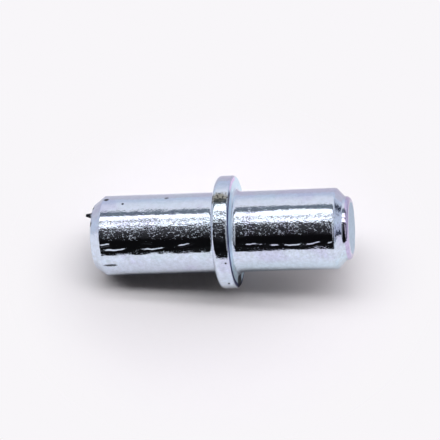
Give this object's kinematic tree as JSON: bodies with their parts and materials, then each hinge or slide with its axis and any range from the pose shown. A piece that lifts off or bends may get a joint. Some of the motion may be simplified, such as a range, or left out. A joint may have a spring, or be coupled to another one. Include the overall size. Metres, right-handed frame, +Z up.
{
  "type": "shelf support pin",
  "caption": "Round steel shelf support pin: a peg that plugs into a cabinet side panel, a collar that stops against the panel, and a peg that carries the shelf.",
  "frame": {"origin": "on the pin's axis, in the plane of the collar's seat, the collar face that meets the cabinet panel", "axes": "+X along the pin's axis, out of the panel towards the shelf peg's end; +Z up, with the axis level as in use; the pin is round, so +Y is any direction across it"},
  "size_m": [0.016, 0.007, 0.007],
  "materials": {
    "zinc_plating": "polished"
  },
  "bodies": {
    "root": {"shelf_pin": "zinc_plating"}
  },
  "joints": []
}
